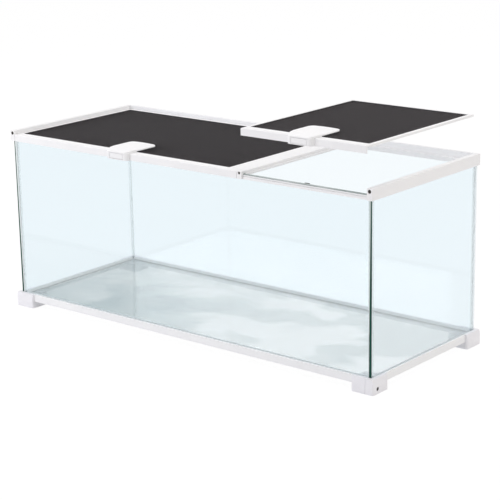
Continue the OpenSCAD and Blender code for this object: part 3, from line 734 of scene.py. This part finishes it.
def faces_front(normal):
    """True where a face looks straight to the front."""
    return normal.y < -0.99


# %% [markdown]
# ## The handle's plate
# The grip's face is a plate set into the handle's recess, with a narrow dark gap all round it.
# The recess's floor is inset, the plate is extruded forwards, and what is left of the floor goes
# in, so that the gap is deep enough to be dark. A separate plate would do too, but then it would
# have to be joined to its handle.

# %% Handle plate
RECESS_FROM, RECESS_TO = 0.7 * MM, 0.9 * MM
PLATE_GAP, PLATE_T, GAP_IN = 0.7 * MM, 0.65 * MM, 1.2 * MM


def raise_plate(handle):
    """Sets a plate into a handle's recess, with a narrow deep gap all round it."""
    front = min(vertex.co.y for vertex in handle.data.vertices)

    def on_floor(centre, normal):
        return faces_front(normal) and RECESS_FROM < centre.y - front < RECESS_TO

    pick_faces(handle, on_floor)
    bpy.ops.mesh.inset(thickness=PLATE_GAP, depth=0.0)
    bpy.ops.mesh.extrude_region_move(TRANSFORM_OT_translate={"value": (0.0, -PLATE_T, 0.0)})
    bpy.ops.object.mode_set(mode="OBJECT")
    print(handle.name, "gap faces:", push(handle, on_floor, GAP_IN))


# %% [markdown]
# ## The front rail's line
# A fine line runs along the face of each front rail. A dark stripe in the finish would stay flat
# from every side, so it is a real groove. Two bisects mark out its edges, because they cut
# straight through the whole rail, and the strip between them is pushed in.

# %% Rail line
LINE_Z, LINE_W, LINE_IN = 319.3 * MM, 0.8 * MM, 1.4 * MM


def line_rail(rail):
    """Cuts the fine line that runs along the face of a front rail."""

    def on_line(centre, normal):
        return faces_front(normal) and LINE_Z < centre.z < LINE_Z + LINE_W

    activate(rail)
    bpy.ops.object.mode_set(mode="EDIT")
    for height in (LINE_Z, LINE_Z + LINE_W):
        bpy.ops.mesh.select_all(action="SELECT")
        bpy.ops.mesh.bisect(plane_co=(0.0, 0.0, height), plane_no=(0.0, 0.0, 1.0))
    bpy.ops.object.mode_set(mode="OBJECT")
    print(rail.name, "line faces:", push(rail, on_line, LINE_IN))


# %% [markdown]
# ## The catch's top
# A catch stands behind the front pane, and its top slopes down to the back. Its own solid would
# hide behind the pane's rim. So the back edge is raised almost to the height of the front one,
# by moving its vertices, and the catch shows as a dark bar above the rim. That dark bar is painted
# shade on the catch's end.

# %% Catch top
CATCH_BACK, CATCH_DROP = 0.1 * MM, 0.1 * MM


def level_catch(catch):
    """Raises the back of a catch's sloping top, so that it shows above the pane."""
    back = max(vertex.co.y for vertex in catch.data.vertices)
    top = max(vertex.co.z for vertex in catch.data.vertices)
    start_picking(catch, "VERT")
    for vertex in catch.data.vertices:
        vertex.select = vertex.co.y > back - CATCH_BACK
    back_top = max(vertex.co.z for vertex in catch.data.vertices if vertex.select)
    bpy.ops.object.mode_set(mode="EDIT")
    bpy.ops.transform.translate(value=(0.0, 0.0, top - back_top - CATCH_DROP))
    bpy.ops.object.mode_set(mode="OBJECT")


# %% [markdown]
# ## The moulded and extruded pieces
# The table below says which finish each solid gets and which body it rides on: the tank, or one
# of the two lids. A loop does the rest, because every piece goes through the same steps.

# %% Mouldings and extrusions
SOFT = {
    "tank": {
        along_x: ("base_rail_front", "base_rail_back", "top_rail_back", "front_rail_left",
                  "front_rail_right"),
        along_y: ("base_rail_left", "base_rail_right", "top_rail_left", "top_rail_right",
                  "crossbar"),
        moulded: ("corner_block_left", "corner_block_right", "crossbar_post",
                  "front_post_left", "front_post_right"),
        feet_white: ("foot_front_left", "foot_front_right", "foot_back_left",
                     "foot_back_right"),
    },
    "left_lid": {along_x: ("left_lid_strip", "left_lid_bars"),
                 moulded: ("left_lid_strip_ends", "left_lid_handle")},
    "right_lid": {along_x: ("right_lid_strip", "right_lid_bars"),
                  moulded: ("right_lid_strip_ends", "right_lid_handle")},
}
SHAPED = {"front_rail_left": line_rail, "front_rail_right": line_rail,
          "left_lid_handle": raise_plate, "right_lid_handle": raise_plate}

for body, finishes in SOFT.items():
    for finish, names in finishes.items():
        for name in names:
            soft_copy(name, finish, body, EDGE_R, shape=SHAPED.get(name))

# %% [markdown]
# ## Catches and splines
# Two small pieces go with each lid. The catch sits inside the front pane, and its black is painted
# shade. The spline is the soft bead that holds the screen's edge down in the lid's bars. Both are
# soft copies too, with a bevel of their own width.

# %% Catches and splines
for side in ("left", "right"):
    # the catch's black finish is painted shade
    soft_copy("catch_" + side, black_plastic, "tank", CATCH_R, "black_plastic", level_catch)
    soft_copy(side + "_lid_spline", bead_finish, side + "_lid", SPLINE_R, "spline")

# %% [markdown]
# ## Screws
# A screw is a low cylinder with a rounded rim, a cross cut into its face and a shank behind it.
# It is made at the origin, facing up, and then turned and set down where its hole is. The cross
# is cut by two thin boxes, because a boolean gives it sharp, square corners.

# %% Screw helpers
HEAD_T, RIM_R, RIM_ANGLE = 1.6 * MM, 0.55 * MM, 60.0
CROSS_ARM, CROSS_SLIT, CROSS_DEEP = 0.30, 0.075, 0.9 * MM


def screw_head(name, head_d):
    """A low cylinder with a rounded rim, whose face lies at the origin and looks up."""
    deselect()
    bpy.ops.mesh.primitive_cylinder_add(vertices=32, radius=head_d / 2, depth=HEAD_T,
                                        location=(0.0, 0.0, -HEAD_T / 2))
    head = bpy.context.object
    head.name = name
    bpy.ops.object.transform_apply(location=True)
    rim = head.modifiers.new("rim", "BEVEL")
    rim.width = RIM_R
    rim.segments = 3
    rim.limit_method = "ANGLE"
    rim.angle_limit = math.radians(RIM_ANGLE)
    return apply_modifiers(head)


def cut_cross(head, head_d):
    """Cuts the driver's cross into a head."""
    arm, slit = head_d * CROSS_ARM, head_d * CROSS_SLIT
    for x, y in ((arm, slit), (slit, arm)):
        cutter = add_box("cutter", (-x, -y, -CROSS_DEEP), (x, y, CROSS_DEEP))
        cut = head.modifiers.new("cross", "BOOLEAN")
        cut.object = cutter
        cut.solver = "EXACT"
        apply_modifiers(head)
        bpy.data.objects.remove(cutter)


def make_screw(place, turn, head_d, shank_d, shank_end):
    """A screw whose head's face lies at place and points along Z turned by turn."""
    head = screw_head("screw", head_d)
    cut_cross(head, head_d)
    deselect()
    bpy.ops.mesh.primitive_cylinder_add(vertices=16, radius=shank_d / 2,
                                        depth=shank_end - HEAD_T,
                                        location=(0.0, 0.0, -(HEAD_T + shank_end) / 2))
    head.select_set(True)
    bpy.context.view_layer.objects.active = head
    bpy.ops.object.join()
    head.rotation_euler = turn
    head.location = place
    return settle(head, 35.0)


def join_screws(name, screws, node):
    """All screws of a node as one piece, which stands for it."""
    activate(screws[0])
    for other in screws[1:]:
        other.select_set(True)
    bpy.ops.object.join()
    piece = screws[0]
    piece.name = name
    low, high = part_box(node)
    corners = [piece.matrix_world @ Vector(corner) for corner in piece.bound_box]
    off = max(max(abs(min(c[axis] for c in corners) - low[axis]),
                  abs(max(c[axis] for c in corners) - high[axis])) for axis in range(3))
    print(name, len(piece.data.polygons), "faces, box off by", round(off / MM, 2), "mm")
    return dress(piece, screw_steel, "tank", "dark_steel", node)


# %% [markdown]
# Each foot has one screw. Those of the front feet look out to the sides, those of the back feet
# look to the back. Three more look out of the frame's front: one in each front post and a smaller
# one in the crossbar's post. Every screw is made by the same helper, so only the places differ.

# %% Foot screws
HEAD_D, SHANK_D, SHANK_END = 6.0 * MM, 2.6 * MM, 15.6 * MM
FOOT_HEAD_Z = 8.5 * MM
FRONT_FOOT_X, FRONT_FOOT_Y = 408.3 * MM, -145.25 * MM
BACK_FOOT_X, BACK_FOOT_Y = 395.0 * MM, 163.05 * MM

feet_screws = []
for sign in (-1, 1):
    for place, turn in (((sign * FRONT_FOOT_X, FRONT_FOOT_Y, FOOT_HEAD_Z),
                         (0.0, sign * QUARTER, 0.0)),
                        ((sign * BACK_FOOT_X, BACK_FOOT_Y, FOOT_HEAD_Z),
                         (-QUARTER, 0.0, 0.0))):
        feet_screws.append(make_screw(place, turn, HEAD_D, SHANK_D, SHANK_END))
join_screws("foot_screws_turned", feet_screws, "foot_screws")

# %% Frame screws
FACE_Y = -155.05 * MM
FRONT_POST_X, FRONT_POST_Z = 398.5 * MM, 329.5 * MM
CROSSBAR_POST_X, CROSSBAR_POST_Z = 139.5 * MM, 324.9 * MM
SMALL_HEAD_D, SMALL_SHANK_D, SMALL_SHANK_END = 4.4 * MM, 1.6 * MM, 14.0 * MM
TO_FRONT = (QUARTER, 0.0, 0.0)

top_screws = [make_screw((sign * FRONT_POST_X, FACE_Y, FRONT_POST_Z), TO_FRONT, HEAD_D,
                         SHANK_D, SHANK_END) for sign in (-1, 1)]
top_screws.append(make_screw((CROSSBAR_POST_X, FACE_Y, CROSSBAR_POST_Z), TO_FRONT,
                             SMALL_HEAD_D, SMALL_SHANK_D, SMALL_SHANK_END))
join_screws("frame_screws_turned", top_screws, "frame_screws")

# %% [markdown]
# ## The screens
# A lid's screen is fine coated wire. One wire is a thin rod with few sides, and an array repeats
# it at the pitch. A second layer runs the other way and rests on the first. A woven mesh would
# need a curve for each wire, and at this size the weave can't be seen.

# %% Screens
WIRE_PITCH, WIRE_R, LAYER_RISE = 1.9 * MM, 0.31 * MM, 0.9
WIRE_TURNS = ((0.0, QUARTER, 0.0), (QUARTER, 0.0, 0.0))


def wire_layer(name, low, high, along, height):
    """A layer of straight wires between two corners, running along axis 0 or 1."""
    across = 1 - along
    span = high[across] - low[across] - 2 * WIRE_R
    count = int(span / WIRE_PITCH)
    place, offset = [0.0, 0.0, height], [0.0, 0.0, 0.0]
    place[along] = (low[along] + high[along]) / 2
    place[across] = low[across] + WIRE_R
    offset[across] = span / count
    deselect()
    bpy.ops.mesh.primitive_cylinder_add(vertices=6, radius=WIRE_R,
                                        depth=high[along] - low[along], location=place,
                                        rotation=WIRE_TURNS[along])
    layer = bpy.context.object
    layer.name = name
    bpy.ops.object.transform_apply(location=True, rotation=True, scale=True)
    array = layer.modifiers.new("repeat", "ARRAY")
    array.use_relative_offset = False
    array.use_constant_offset = True
    array.constant_offset_displace = offset
    array.count = count + 1
    return apply_modifiers(layer)


def screen(side):
    """Both layers of a lid's screen, joined, in place of its solid."""
    node = side + "_lid_screen"
    low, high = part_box(node)
    middle, rise = (low[2] + high[2]) / 2, WIRE_R * LAYER_RISE
    below = wire_layer(side + "_screen_wires", low, high, 1, middle - rise)
    above = wire_layer("upper_wires", low, high, 0, middle + rise)
    activate(below)
    above.select_set(True)
    bpy.ops.object.join()
    settle(below, 60.0)
    # wire this fine hardly shades what lies below it
    below.visible_shadow = False
    below.visible_diffuse = False
    print(side, "screen:", len(below.data.polygons), "faces")
    return dress(below, wire_finish, side + "_lid", "screen", node)


for side in ("left", "right"):
    screen(side)
